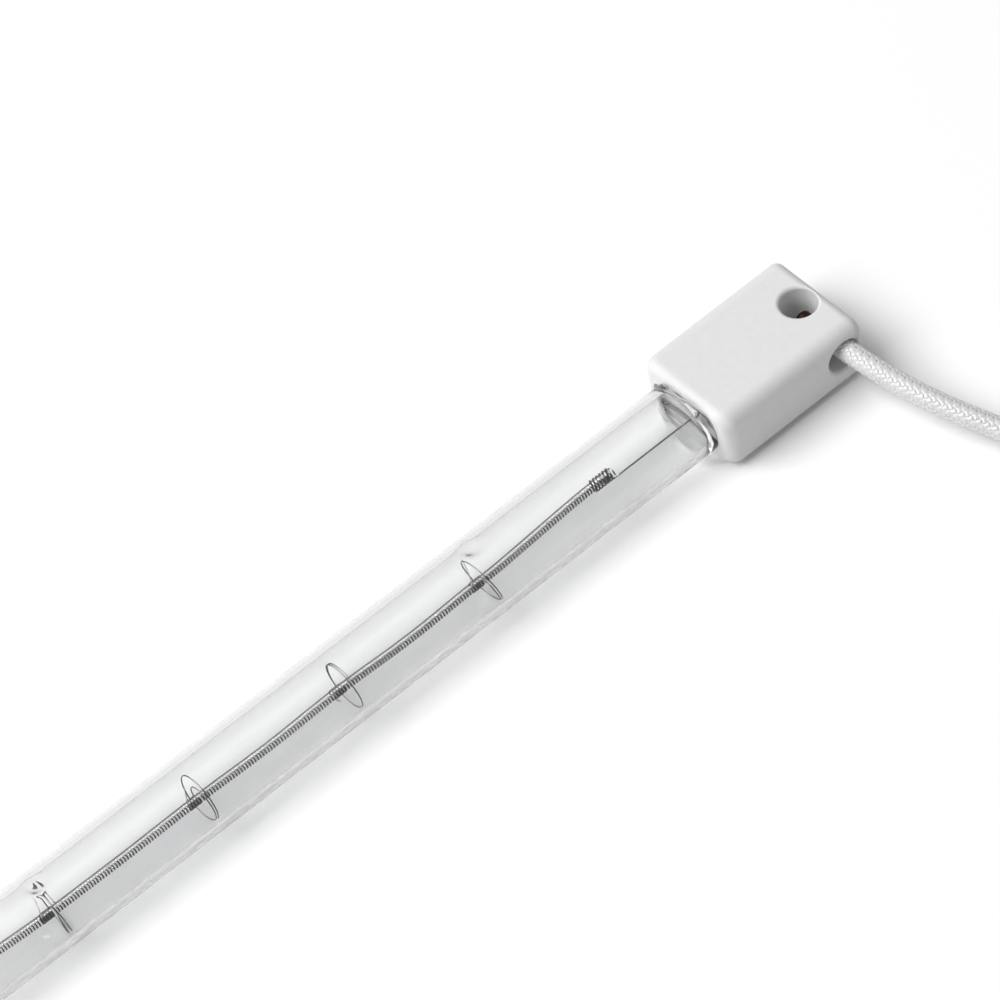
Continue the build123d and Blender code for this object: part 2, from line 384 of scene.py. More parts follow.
def pale_nylon():
    made, brush, surface = paint("pale_nylon")
    moulded = grain(brush, place(brush), scale=1200.0)
    tones = [(0.3, (0.70, 0.70, 0.68, 1.0)), (0.7, (0.80, 0.80, 0.78, 1.0))]
    feed(
        brush,
        surface,
        {
            "Base Color": ramp(brush, moulded, tones),
            "Roughness": 0.36 + moulded * 0.14,
            "Normal": relief(brush, moulded, depth=0.00004, strength=0.4),
        },
    )
    return made


def plated_nickel():
    made, brush, surface = paint("plated_nickel")
    rubbed = grain(brush, place(brush), scale=1600.0)
    tones = [(0.3, (0.50, 0.49, 0.46, 1.0)), (0.7, (0.68, 0.665, 0.63, 1.0))]
    feed(
        brush,
        surface,
        {
            "Base Color": ramp(brush, rubbed, tones),
            "Metallic": 1.0,
            "Roughness": 0.18 + rubbed * 0.18,
            "Normal": relief(brush, rubbed, depth=0.00001, strength=0.4),
        },
    )
    return made


quartz_look = clear_quartz()
ceramic_look = fired_ceramic()
tungsten_look = tungsten()
support_look = aged_wire_with_painted_highlight()
molybdenum_look = molybdenum()
cement_look = set_cement()
copper_look = browned_copper_painted_shade()
braid_look = glass_braid()
nylon_look = pale_nylon()
nickel_look = plated_nickel()


# Mesh makers
def loft(rings, closed=False):
    """Points, faces and UVs of a skin over rings of points, with flat ends unless its path is closed."""
    rings = np.asarray(rings, float)
    count, sides = rings.shape[:2]
    index = np.arange(count * sides).reshape(count, sides)
    after = np.roll(index, -1, axis=0) if closed else index[1:]
    before = index if closed else index[:-1]
    quads = np.stack(
        [before, np.roll(before, -1, axis=1), np.roll(after, -1, axis=1), after], axis=-1
    ).reshape(-1, 4)
    steps = np.linalg.norm(np.diff(rings.mean(axis=1), axis=0), axis=1)
    run = np.concatenate([[0.0], np.cumsum(steps)])
    far = np.roll(run, -1) if closed else run[1:]
    near = run if closed else run[:-1]
    turn = np.arange(sides) / sides
    onward = turn + 1 / sides
    corner_runs = np.stack([near, near, far, far], axis=-1)[:, None, :].repeat(sides, axis=1)
    corner_turns = np.stack([turn, onward, onward, turn], axis=-1)[None].repeat(len(near), axis=0)
    uvs = np.stack([corner_runs, corner_turns], axis=-1).reshape(-1, 2)
    faces = quads.tolist()
    if not closed:
        faces.append(index[0][::-1].tolist())
        faces.append(index[-1].tolist())
        uvs = np.concatenate([uvs, np.zeros((2 * sides, 2))])
    return rings.reshape(-1, 3), faces, uvs


def inside_out(skin):
    """A skin that faces the other way."""
    points, faces, uvs = skin
    return points, [face[::-1] for face in faces], uvs


def mirrored(skin):
    """A skin for the tube's far end."""
    points, faces, uvs = inside_out(skin)
    return points * (-1.0, 1.0, 1.0), faces, uvs


def show(name, mesh, look, node, sharp=None):
    """A finished piece that rides on the part and stands for a node; sharp is a crease's angle in degrees."""
    mesh.shade_smooth()
    if sharp is not None:
        mesh.set_sharp_from_angle(angle=math.radians(sharp))
    mesh.materials.append(look)
    piece = bpy.data.objects.new(name, mesh)
    scene.collection.objects.link(piece)
    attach(piece, "root")
    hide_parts(node)
    return piece


def make(name, skins, look, node, sharp=None):
    """A finished piece from one or more skins."""
    points, faces, uvs, start = [], [], [], 0
    for skin_points, skin_faces, skin_uvs in skins:
        points.append(skin_points)
        faces.extend([[start + corner for corner in face] for face in skin_faces])
        uvs.append(skin_uvs)
        start += len(skin_points)
    mesh = bpy.data.meshes.new(name)
    mesh.from_pydata((np.concatenate(points) * MM).tolist(), [], faces)
    layer = mesh.uv_layers.new(name="along")
    layer.data.foreach_set("uv", np.concatenate(uvs).astype(np.float32).ravel())
    return show(name, mesh, look, node, sharp)


def make_pair(name, skin, look, node, sharp=None):
    """A piece of the end with the lead, and its mirror image at the far end."""
    make(f"{name}_a", [skin], look, f"{node}_a", sharp)
    make(f"{name}_b", [mirrored(skin)], look, f"{node}_b", sharp)


def directions(line):
    """Unit directions along a line of points."""
    runs = np.gradient(line, axis=0)
    return runs / np.linalg.norm(runs, axis=1)[:, None]


nearly_upright = 0.1


def cross_directions(line):
    """Two cross directions at each point of a line, carried along it without twist."""
    tangents = directions(line)
    side = np.cross(tangents[0], (0.0, 0.0, 1.0))
    if np.linalg.norm(side) < nearly_upright:
        side = np.cross(tangents[0], (0.0, 1.0, 0.0))
    sides = []
    for tangent in tangents:
        side = side - tangent * (side @ tangent)
        side = side / np.linalg.norm(side)
        sides.append(side)
    sides = np.array(sides)
    return sides, np.cross(tangents, sides)


def wire_skin(line, half_widths, half_heights, facets):
    """Skin of a round or oval wire along a line of points, from its section's half axes at each point."""
    angles = np.arange(facets) * TURN / facets
    wide = np.cos(angles)[None, :, None] * half_widths[:, None]
    high = np.sin(angles)[None, :, None] * half_heights[:, None]
    return loft(line[:, None] + wide + high)


def round_wire(line, radius, facets):
    """Skin of a round wire along a line of points."""
    sides, ups = cross_directions(line)
    return wire_skin(line, sides * radius, ups * radius, facets)


def wound_wire(line, outwards, radius, facets):
    """Skin of a round wire in a coil; its UV turn is 0 on the coil's outer side and 0.5 on its inner side."""
    across = np.cross(directions(line), outwards)
    return wire_skin(line, outwards * radius, across * radius, facets)


def lathe(foot, axis, across, profile, facets):
    """Rings of points round an axis, from a profile of steps along it and radii."""
    foot, axis, across = Vector(foot), Vector(axis), Vector(across)
    upright = axis.cross(across)
    rings = []
    for step, radius in profile:
        ring = []
        for corner in range(facets):
            angle = corner * TURN / facets
            outwards = across * math.cos(angle) + upright * math.sin(angle)
            ring.append(foot + axis * step + outwards * radius)
        rings.append(ring)
    return rings


def ring_at(x, outline, middle_y, middle_z):
    """Ring of points across the tube, from an outline about its own middle."""
    return np.column_stack([np.full(len(outline), x), middle_y + outline[:, 0], middle_z + outline[:, 1]])


def rounded_loop(half_width, foot, top, foot_corner, top_corner, corner_points):
    """Points round a rectangle with rounded corners, from its right side upwards."""
    corners = (
        (half_width - top_corner, top - top_corner, top_corner),
        (top_corner - half_width, top - top_corner, top_corner),
        (foot_corner - half_width, foot + foot_corner, foot_corner),
        (half_width - foot_corner, foot + foot_corner, foot_corner),
    )
    loop = []
    for quarter, (middle_across, middle_up, radius) in enumerate(corners):
        for step in range(corner_points):
            angle = (quarter + step / (corner_points - 1)) * TURN / 4
            loop.append((middle_across + radius * math.cos(angle), middle_up + radius * math.sin(angle)))
    return np.array(loop)


def even_loop(half_width, half_height, corner, corner_points):
    """Points round a rectangle with four like corners, about its own middle."""
    return rounded_loop(half_width, -half_height, half_height, corner, corner, corner_points)


def oval(half_width, half_height, power, angles):
    """Points round an oval; a power of 2 is a true one, and more than that squares it off."""
    turn_across, turn_up = np.cos(angles), np.sin(angles)
    return np.stack(
        [
            half_width * np.sign(turn_across) * np.abs(turn_across) ** (2 / power),
            half_height * np.sign(turn_up) * np.abs(turn_up) ** (2 / power),
        ],
        axis=-1,
    )


def ease(share):
    """Smooth step from 0 to 1."""
    share = np.clip(share, 0.0, 1.0)
    return share * share * (3 - 2 * share)


# The lead's line: out of the cap, down to the floor and into a put-away coil of two turns
lead_diameter = 2.7
lead_turns = 2
lead_route = [
    (84.0, -4.1, 5.513),
    (84.3, -12.0, 5.5),
    (86.3, -21.5, 5.0),
    (90.2, -31.0, 3.6),
    (91.6, -38.6, 1.9),
    (95.4, -45.2, 1.9),
]
lead_coil_outer = 17.6
lead_coil_inner = lead_coil_outer - lead_turns * lead_diameter
points_a_turn = 16
tail_steps = 4
tail_play = 0.4
ferrule_angle = math.radians(130.0)
ferrule_length = 7.0
ferrule_reach = 9.06

lead_entry = (Vector(lead_route[-1]) - Vector(lead_route[-2])).normalized()
entry_outwards = Vector((lead_entry.y, -lead_entry.x, 0))
lead_coil_centre = Vector(lead_route[-1]) - entry_outwards * lead_coil_outer


def turned(direction, angle):
    """A direction turned about the upright."""
    return Matrix.Rotation(angle, 3, "Z") @ direction


def lead_coil_point(angle, radius):
    """A point of the lead's coil, at an angle from where the lead runs into it."""
    return lead_coil_centre + turned(entry_outwards, angle) * radius


# The curve cuts inside its control points, so those of the coil lie further out
turn_step = TURN / points_a_turn
round_out = 1 / math.cos(turn_step / 2)
lead_points = [Vector(point) for point in lead_route]
for count in range(1, lead_turns * points_a_turn + 1):
    turn_radius = lead_coil_outer - lead_diameter * count / points_a_turn
    lead_points.append(lead_coil_point(count * turn_step, turn_radius * round_out))
for count in range(1, tail_steps + 1):
    tail_radius = lead_coil_inner - count / tail_steps * (lead_coil_inner - ferrule_reach - tail_play)
    lead_points.append(lead_coil_point(count * turn_step, tail_radius * round_out))
ferrule_line = turned(lead_entry, ferrule_angle)
ferrule_start = lead_coil_point(ferrule_angle, ferrule_reach) - ferrule_line * (ferrule_length / 2)
lead_points.append(ferrule_start)

lead_curve = bpy.data.curves.new("lead_line", "CURVE")
lead_curve.dimensions = "3D"
lead_curve.resolution_u = 24
lead_spline = lead_curve.splines.new("NURBS")
lead_spline.points.add(len(lead_points) - 1)
for knot, point in zip(lead_spline.points, lead_points):
    knot.co = (*(point * MM), 1.0)
lead_spline.order_u = 3
lead_spline.use_endpoint_u = True
lead_holder = bpy.data.objects.new("lead_line", lead_curve)
lead_mesh = bpy.data.meshes.new_from_object(lead_holder)
lead_line = np.array([corner.co for corner in lead_mesh.vertices]) / MM
bpy.data.objects.remove(lead_holder)
bpy.data.curves.remove(lead_curve)
bpy.data.meshes.remove(lead_mesh)

lead_steps = np.linalg.norm(np.diff(lead_line, axis=0), axis=1)
lead_run = np.concatenate([[0.0], np.cumsum(lead_steps)])
lead_length = lead_run[-1]


def along_lead(distances):
    """Points of the lead's line at distances from its start."""
    return np.stack([np.interp(distances, lead_run, lead_line[:, axis]) for axis in range(3)], axis=-1)


# Braided lead: bundles of glass fibre wound both ways, over and under each other, on a core
braid_pitch = 8.5
bundles_each_way = 8
bundle_width = 1.10
bundle_thickness = 0.30
weave_depth = 0.08
crossing = braid_pitch / (2 * bundles_each_way)
braid_radius = lead_diameter / 2 - bundle_thickness / 2 - weave_depth / 2
core_play = 0.03
core_points = 260
core_facets = 12

# The free run has a finer mesh than the put-away coil
free_length = 50.0
free_points_a_crossing = 4
free_facets = 6
coiled_points_a_crossing = 2
coiled_facets = 4

free_stops = np.arange(0.0, free_length, crossing / free_points_a_crossing)
coiled_stops = np.arange(free_length, lead_length, crossing / coiled_points_a_crossing)
stops = np.concatenate([free_stops, coiled_stops, [lead_length]])
stop_line = along_lead(stops)
stop_sides, stop_ups = cross_directions(stop_line)


def bundle(number, way, first, last, facets):
    """One fibre bundle of the braid between two stops; way is 1 or -1."""
    piece = slice(first, last)
    angle = TURN * number / bundles_each_way + way * TURN * stops[piece] / braid_pitch
    lift = braid_radius + way * weave_depth * np.cos(math.pi * stops[piece] / crossing)
    outwards = np.cos(angle)[:, None] * stop_sides[piece] + np.sin(angle)[:, None] * stop_ups[piece]
    line = stop_line[piece] + outwards * lift[:, None]
    across = np.cross(np.gradient(line, axis=0), outwards)
    across /= np.linalg.norm(across, axis=1)[:, None]
    return wire_skin(line, across * (bundle_width / 2), outwards * (bundle_thickness / 2), facets)


braid_skins = []
for way in (1, -1):
    for number in range(bundles_each_way):
        braid_skins.append(bundle(number, way, 0, len(free_stops) + 1, free_facets))
        braid_skins.append(bundle(number, way, len(free_stops), len(stops), coiled_facets))
core_line = along_lead(np.linspace(0.0, lead_length, core_points))
braid_skins.append(round_wire(core_line, braid_radius - core_play, core_facets))
lead = make("braided_lead", braid_skins, braid_look, "lead_wire")
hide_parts("lead_coil")

# Strap that ties the lead's coil
tie_angle = math.radians(180.0)
tie_play = 0.15
tie_thickness = 0.4
tie_width = 3.0
tie_corner = 0.9
tie_corner_points = 8
strap_flat = 0.02
strap_corner_points = 4

tie_half_width = (lead_coil_outer - lead_coil_inner + lead_diameter) / 2 + tie_play + tie_thickness / 2
tie_half_height = lead_diameter / 2 + tie_play + tie_thickness / 2
tie_place = lead_coil_point(tie_angle, (lead_coil_outer + lead_coil_inner) / 2)
tie_outwards = turned(entry_outwards, tie_angle)
tie_along = UP.cross(tie_outwards)
tie_loop = even_loop(tie_half_width, tie_half_height, tie_corner, tie_corner_points)
strap_corner = tie_thickness / 2 - strap_flat
strap_section = even_loop(tie_thickness / 2, tie_width / 2, strap_corner, strap_corner_points)
tie_rings = []
for index, (out, up) in enumerate(tie_loop):
    before, after = tie_loop[index - 1], tie_loop[(index + 1) % len(tie_loop)]
    run = Vector(after - before).normalized()
    ring = []
    for thick, wide in strap_section:
        reach_out, reach_up = out + thick * run.y, up - thick * run.x
        ring.append(tie_place + tie_outwards * reach_out + UP * reach_up + tie_along * wide)
    tie_rings.append(ring)
tie = make("coil_strap", [loft(tie_rings, closed=True)], nylon_look, "coil_tie", sharp=40)

# Ferrule on the lead's end, with two pressed grooves
ferrule_radius = 1.0
ferrule_bore = 0.6
ferrule_lip = 0.12
ferrule_facets = 32
groove_places = (2.0, 5.0)
groove_half_width = 0.6
groove_depth = 0.14

ferrule_profile = [
    (0.0, ferrule_bore),
    (0.0, ferrule_radius - ferrule_lip),
    (ferrule_lip, ferrule_radius),
]
for groove in groove_places:
    ferrule_profile.append((groove - groove_half_width, ferrule_radius))
    ferrule_profile.append((groove, ferrule_radius - groove_depth))
    ferrule_profile.append((groove + groove_half_width, ferrule_radius))
ferrule_profile += [
    (ferrule_length - ferrule_lip, ferrule_radius),
    (ferrule_length, ferrule_radius - ferrule_lip),
    (ferrule_length, ferrule_bore),
]
ferrule_rings = lathe(ferrule_start, ferrule_line, UP.cross(ferrule_line), ferrule_profile, ferrule_facets)
ferrule_skin = loft(ferrule_rings, closed=True)
ferrule = make("end_ferrule", [ferrule_skin], nickel_look, "lead_ferrule", sharp=40)

# Quartz envelope: drawn tube, dimpled at the end supports and pressed flat into a pinch at each end
tube_low, tube_high = span("quartz_tube")
cap_low, cap_high = span("ceramic_cap_a")
tube_radius = (tube_high[2] - tube_low[2]) / 2
tube_wall = 0.95
bore_radius = tube_radius - tube_wall
axis_y = (tube_low[1] + tube_high[1]) / 2
axis_z = tube_low[2] + tube_radius
tube_facets = 160
tube_angles = np.arange(tube_facets) * TURN / tube_facets

# Where the tube's forms begin and end, from the cap's mouth
mouth_x = cap_low[0]
shoulder_start = mouth_x - 1.6
pinch_start = mouth_x + 0.15
dome_start = mouth_x - 1.8
dome_tip = mouth_x - 0.6
ear_start = mouth_x + 0.5
ear_end = mouth_x + 1.7

# The pinch, and how the wall closes towards it: powers and roots, as seen from the side and from above
pinch_end = tube_high[0]
pinch_half_width = (tube_high[1] - tube_low[1]) / 2
pinch_half_thickness = 0.8
pinch_edge = 0.25
pinch_edge_inset = 0.22
round_power = 2.0
pinch_power = 6.0
press_power = 8.0
side_closing = (2.2, 0.6)
plan_closing = (8.0, 0.5)

# Dimples: place along the tube, angle round it in degrees, and depth
dimples = [(32.7, 77.0, 0.325), (31.75, -90.0, 0.34), (-32.6, 80.0, 0.39), (-32.65, -90.0, 0.34)]
dimple_spread = 1.8
bore_dimple_spread = 1.9
outer_press = 0.6
bore_press = 1.08


def tube_ring(x, outline):
    return ring_at(x, outline, axis_y, axis_z)


def dented_ring(x, radius, spread, press):
    """Ring of the tube's wall, pressed in at the dimples."""
    radii = np.full(tube_facets, radius)
    for dimple_x, dimple_angle, dimple_depth in dimples:
        around = (tube_angles - math.radians(dimple_angle) + math.pi) % TURN - math.pi
        away = np.hypot(x - dimple_x, around * radius) / spread
        radii = radii - dimple_depth * press * np.clip(1 - away**2, 0, None) ** 2
    return tube_ring(x, oval(1.0, 1.0, round_power, tube_angles) * radii[:, None])


def closing(share, power, root):
    """How much of a size is left on the way to where the wall closes."""
    return (1 - share**power) ** root


def outer_ring(x):
    """Ring of the outside: round, then pressed flat over the shoulder, then spread into the pinch."""
    share = (abs(x) - shoulder_start) / (pinch_start - shoulder_start)
    if share <= 0:
        return dented_ring(x, tube_radius, dimple_spread, outer_press)
    pressed = 1 - closing(min(share, 1.0), *side_closing)
    half_height = tube_radius + (pinch_half_thickness - tube_radius) * pressed
    flattened = oval(tube_radius, tube_radius, round_power, tube_angles)
    squeeze = (tube_radius / half_height) ** press_power - 1
    flattened[:, 1] /= (1 + squeeze * np.abs(np.sin(tube_angles)) ** press_power) ** (1 / press_power)
    spread = ease((abs(x) - ear_start) / (ear_end - ear_start))
    pinch = oval(pinch_half_width, pinch_half_thickness, pinch_power, tube_angles)
    return tube_ring(x, flattened * (1 - spread) + pinch * spread)


def bore_ring(x):
    """Ring of the bore: round, then drawn in to the dome that ends it."""
    share = (abs(x) - dome_start) / (dome_tip - dome_start)
    if share <= 0:
        return dented_ring(x, bore_radius, bore_dimple_spread, bore_press)
    half_width = bore_radius * closing(share, *plan_closing)
    half_height = bore_radius * closing(share, *side_closing)
    return tube_ring(x, oval(half_width, half_height, round_power, tube_angles))


def both_halves(half):
    """Stations along the whole tube, from those of one half, which start at its middle."""
    return np.concatenate([-half[:0:-1], half])


# Stations along one half of the tube, close together where it is dimpled or pressed
dimple_run_start = 28.6
dimple_run_end = 36.4
dimple_run_step = 0.18
shoulder_steps = 22
ear_steps = 6
dome_steps = 20
dome_reach = 0.985

plain_run = np.array([0.0, 8.0, 16.0, 22.0, 26.0])
dimple_run = np.arange(dimple_run_start, dimple_run_end, dimple_run_step)
far_run = np.array([40.0, 46.0, 52.0, 57.0])
tube_run = np.concatenate([plain_run, dimple_run, far_run])
shoulder_run = shoulder_start + (pinch_start - shoulder_start) * np.linspace(0, 1, shoulder_steps)
ear_run = np.linspace(ear_start, ear_end, ear_steps)
dome_turns = np.linspace(0, dome_reach, dome_steps) * math.pi / 2
dome_run = dome_start + (dome_tip - dome_start) * np.sin(dome_turns)
outer_stations = both_halves(np.concatenate([tube_run, shoulder_run, ear_run, [pinch_end - pinch_edge]]))
bore_stations = both_halves(np.concatenate([tube_run, dome_run]))

end_outline = oval(
    pinch_half_width - pinch_edge_inset, pinch_half_thickness - pinch_edge_inset, pinch_power, tube_angles
)
outer_rings = [tube_ring(-pinch_end, end_outline)]
outer_rings += [outer_ring(x) for x in outer_stations]
outer_rings += [tube_ring(pinch_end, end_outline)]
outer_skin = loft(outer_rings)
bore_skin = inside_out(loft([bore_ring(x) for x in bore_stations]))
make("quartz_envelope", [outer_skin, bore_skin], quartz_look, "quartz_tube", sharp=50)

# Tungsten coil: one fine wire wound closely along a line that sags a little and rises to each connector
filament_low, filament_high = span("filament")
coil_radius = (filament_high[1] - filament_low[1]) / 2
coil_wire = 0.092
coil_pitch = 0.403
coil_points_a_turn = 14
coil_facets = 6
coil_end_x = filament_high[0]
level_z = filament_low[2] + coil_radius
raised_z = filament_high[2] - coil_radius
level_x = 33.0
raised_x = 49.2
support_spacing = 21.6
coil_sags = np.array([0.12, 0.30, 0.40])


def coil_height(x):
    """Height of the coil's middle: sagging between its supports, then rising to the connectors."""
    bays = x / support_spacing + len(coil_sags) / 2
    bay = np.floor(bays).astype(int)
    held = (bay >= 0) & (bay < len(coil_sags))
    sag = coil_sags[np.clip(bay, 0, len(coil_sags) - 1)] * held
    rise = np.clip((np.abs(x) - level_x) / (raised_x - level_x), 0, 1)
    hang = sag * np.sin(math.pi * bays) ** 2
    return level_z - hang + (raised_z - level_z) * (rise + ease(rise)) / 2


winding = np.linspace(-coil_end_x, coil_end_x, int(2 * coil_end_x / coil_pitch * coil_points_a_turn))
winding_angle = TURN * winding / coil_pitch
winding_middle = np.column_stack([winding, np.full(len(winding), axis_y), coil_height(winding)])
winding_outwards = np.column_stack([np.zeros(len(winding)), np.cos(winding_angle), np.sin(winding_angle)])
winding_line = winding_middle + winding_outwards * (coil_radius - coil_wire)
coil_skin = wound_wire(winding_line, winding_outwards, coil_wire, coil_facets)
make("tungsten_coil", [coil_skin], tungsten_look, "filament")

# Connectors: a close spiral over each end of the coil, left-handed by the lead, and a leg into the seal
connector_low, connector_high = span("coil_connector_a")
connector_wire = 0.105
connector_radius = 0.74
connector_turns = 6
connector_points_a_turn = 18
connector_length = 3.1
connector_facets = 10
connector_inner = connector_low[0] + connector_wire
connector_outer = connector_low[0] + connector_length - connector_wire
leg_angle = math.radians(199.0)
leg_points = 14

spiral_share = np.linspace(0, 1, connector_turns * connector_points_a_turn)
spiral_angle = leg_angle + TURN * connector_turns * (1 - spiral_share)
spiral_line = np.column_stack(
    [
        connector_inner + (connector_outer - connector_inner) * spiral_share,
        axis_y + connector_radius * np.cos(spiral_angle),
        raised_z + connector_radius * np.sin(spiral_angle),
    ]
)
leg_share = np.linspace(0, 1, leg_points)[1:]
leg_line = np.column_stack(
    [
        connector_outer + (connector_high[0] - connector_outer) * leg_share,
        np.full(len(leg_share), spiral_line[-1, 1]),
        np.full(len(leg_share), spiral_line[-1, 2]),
    ]
)
connector_skin = round_wire(np.concatenate([spiral_line, leg_line]), connector_wire, connector_facets)
make_pair("spiral_connector", connector_skin, molybdenum_look, "coil_connector")

# Supports: each wire has a tail, is wound into the coil's grooves, and swings out into a ring in the bore
support_wire = 0.075
support_facets = 8
hub_radius = 0.62
hub_turns = 3
ring_radius = 3.17
tail_points = 24
hub_points_a_turn = 20
swing_points = 36
degrees_a_ring_point = 5
support_forms = [
    {
        "station": 31.75, "lean": 12.5, "lean_towards": 78, "swing_from": 100, "swing": 115, "ring": 360,
        "ring_pitch": 0.16, "ring_shift": -0.10, "tail_angle": 36, "tail_reach": 3.4, "tail_push": 1.85,
    },
    {
        "station": 10.5, "lean": 3.5, "lean_towards": 100, "swing_from": 250, "swing": 145, "ring": 450,
        "ring_pitch": 0.27, "ring_shift": 0.10, "tail_angle": 215, "tail_reach": 1.1, "tail_push": 0.4,
    },
    {
        "station": -11.1, "lean": 1.5, "lean_towards": 100, "swing_from": 305, "swing": 270, "ring": 345,
        "ring_pitch": 0.20, "ring_shift": 0.05, "tail_angle": 20, "tail_reach": 2.1, "tail_push": 1.1,
    },
    {
        "station": -32.65, "lean": 13.3, "lean_towards": 118, "swing_from": 60, "swing": 155, "ring": 620,
        "ring_pitch": 0.45, "ring_shift": 0.0, "tail_angle": 40, "tail_reach": 2.7, "tail_push": 1.0,
    },
]


def support_line(
    station,
    lean,
    lean_towards,
    swing_from,
    swing,
    ring,
    ring_pitch,
    ring_shift,
    tail_angle,
    tail_reach,
    tail_push,
):
    """The wire of one support, from the tip of its tail to the free end of its ring; angles in degrees."""
    hub_start = tail_angle + math.degrees(math.acos(hub_radius / tail_reach))
    hub_sweep = 360 * hub_turns + (swing_from - hub_start) % 360
    hub_length = coil_pitch * hub_sweep / 360
    # The coil's grooves lie half a turn from its wire
    groove = swing_from / 360 + 1 / 2
    hub_end = coil_pitch * (groove + round((station + hub_length / 2) / coil_pitch - groove))
    tail_share = np.linspace(1, 0, tail_points)[:-1]
    tail_run = math.sqrt(tail_reach**2 - hub_radius**2) * tail_share
    hub_share = np.linspace(0, 1, hub_turns * hub_points_a_turn)
    swing_share = np.linspace(0, 1, swing_points)[1:]
    ring_share = np.linspace(0, 1, ring // degrees_a_ring_point)[1:]
    growth = (swing_share + ease(swing_share)) / 2
    angles = np.radians(
        np.concatenate(
            [
                hub_start - np.degrees(np.arctan2(tail_run, hub_radius)),
                hub_start + hub_sweep * hub_share,
                hub_start + hub_sweep + swing * swing_share,
                hub_start + hub_sweep + swing + ring * ring_share,
            ]
        )
    )
    radii = np.concatenate(
        [
            np.hypot(tail_run, hub_radius),
            np.full(len(hub_share), hub_radius),
            hub_radius + (ring_radius - hub_radius) * growth,
            np.full(len(ring_share), ring_radius),
        ]
    )
    upright_x = np.concatenate(
        [
            hub_end - hub_length + tail_push * tail_share,
            hub_end - hub_length * (1 - hub_share),
            hub_end + ring_shift * ease(swing_share),
            hub_end + ring_shift + ring_pitch * ring / 360 * ring_share,
        ]
    )
    leaning = ease((radii - hub_radius) / (ring_radius - hub_radius))
    tilt = math.tan(math.radians(lean)) * radii * np.cos(angles - math.radians(lean_towards)) * leaning
    return np.column_stack(
        [
            upright_x - tilt,
            axis_y + radii * np.cos(angles),
            level_z + radii * np.sin(angles),
        ]
    )


for number, form in enumerate(support_forms, start=1):
    support_skin = round_wire(support_line(**form), support_wire, support_facets)
    make(f"ring_support_{number:02d}", [support_skin], support_look, f"support_{number:02d}")

# Ceramic caps: rounded block, hollow for the pinch, with a hole from the top that meets one from the side
cap_middle_y = (cap_low[1] + cap_high[1]) / 2
cap_half_width = (cap_high[1] - cap_low[1]) / 2
cap_foot = cap_low[2]
cap_top = cap_high[2]
cap_end = cap_high[0]
cap_shoulder = 2.0
least_shoulder = 0.6
cap_foot_corner = 0.35
most_foot_inset = 0.3
mouth_round = 1.2
mouth_corner = 1.8
rear_round = 1.5
rear_corner = 1.0
cap_corner_points = 10
cap_end_steps = 13


def drawn_in(radius, depth):
    """How far a rounded end lies inside the side at a depth from that end."""
    return radius - math.sqrt(radius**2 - max(radius - depth, 0.0) ** 2)


def cap_ring(x, side_inset, top_inset):
    """Ring across the cap, drawn in at its sides, top and foot."""
    outline = rounded_loop(
        cap_half_width - side_inset,
        cap_foot + min(top_inset, most_foot_inset),
        cap_top - top_inset,
        cap_foot_corner,
        max(cap_shoulder - top_inset, least_shoulder),
        cap_corner_points,
    )
    return ring_at(x, outline, cap_middle_y, 0.0)


end_shares = 1 - np.cos(np.linspace(0, math.pi / 2, cap_end_steps))
cap_rings = []
for depth in mouth_corner * end_shares:
    cap_rings.append(cap_ring(mouth_x + depth, drawn_in(mouth_corner, depth), drawn_in(mouth_round, depth)))
for depth in rear_round * end_shares[::-1]:
    cap_rings.append(cap_ring(cap_end - depth, drawn_in(rear_corner, depth), drawn_in(rear_round, depth)))

# The cap's hollow and holes, with rounded rims
pin_low, pin_high = span("outer_pin_a")
cutter_overrun = 1.0
cavity_half_width = 5.55
cavity_half_height = 1.8
cavity_drop = 0.4
cavity_z = axis_z - cavity_drop
cavity_depth = 14.6
cavity_corner = 1.2
cavity_corner_points = 10
cavity_flare = 0.1
cavity_rim_steps = 7
hole_setback = 3.1
hole_x = cap_end - hole_setback
hole_radius = 2.3
hole_rim_round = 0.55
hole_rim_steps = 9
hole_facets = 64
top_hole_depth = 6.7
pin_hole_start = mouth_x + 14.0
pin_hole_radius = 1.1
pin_hole_flare = 0.1
pin_z = (pin_low[2] + pin_high[2]) / 2


def rim_profile(flare, depth, steps):
    """Depths and spreads of a cutter with a rounded rim, from outside the rim to the cutter's end."""
    rim = [
        (flare * (1 - math.cos(turn)), flare * (1 - math.sin(turn)))
        for turn in np.linspace(0, math.pi / 2, steps)
    ]
    return [(-cutter_overrun, flare), *rim, (depth, 0.0)]


def solid(name, skin):
    """A helper body for cutting."""
    points, faces, _ = skin
    mesh = bpy.data.meshes.new(name)
    mesh.from_pydata((points * MM).tolist(), [], faces)
    body = bpy.data.objects.new(name, mesh)
    scene.collection.objects.link(body)
    return body


def hole_cutter(name, rim_middle, axis, across, radius, depth, flare):
    """Cutter for a round hole with a rounded rim."""
    profile = [(step, radius + spread) for step, spread in rim_profile(flare, depth, hole_rim_steps)]
    return solid(name, loft(lathe(rim_middle, axis, across, profile, hole_facets)))


